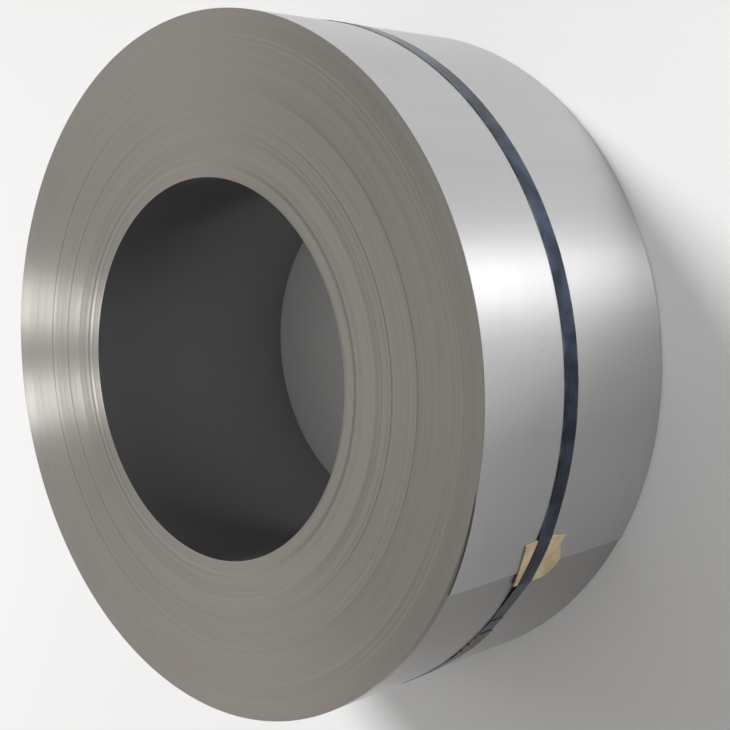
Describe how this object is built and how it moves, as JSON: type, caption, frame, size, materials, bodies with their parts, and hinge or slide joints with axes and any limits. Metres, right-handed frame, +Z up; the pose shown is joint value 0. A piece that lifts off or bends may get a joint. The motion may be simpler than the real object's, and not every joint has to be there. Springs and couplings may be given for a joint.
{
  "type": "steel coil",
  "caption": "Coil of flat steel strip standing on its end, with a round bore through it and its cut tail held down by a steel strap, a clip seal and a fibreboard pad.",
  "frame": {"origin": "on the bore axis, in the plane of the end that the coil stands on", "axes": "+Z up along the bore, towards the end where the last lap runs out; +X towards the side where the strip ends; +Y square to both"},
  "size_m": [1.121, 1.1196, 0.43],
  "materials": {
    "strip_steel": "satin cold-rolled steel, with the edges of the laps showing as fine rings on the ends",
    "strap_steel": "blued steel band, half gloss",
    "seal_steel": "dark steel clip, half gloss",
    "pad_board": "plain tan fibreboard, matt, cut by hand"
  },
  "bodies": {
    "root": {"coil": "strip_steel", "strap": "strap_steel", "strap_seal": "seal_steel", "tail_pad": "pad_board"}
  },
  "joints": []
}
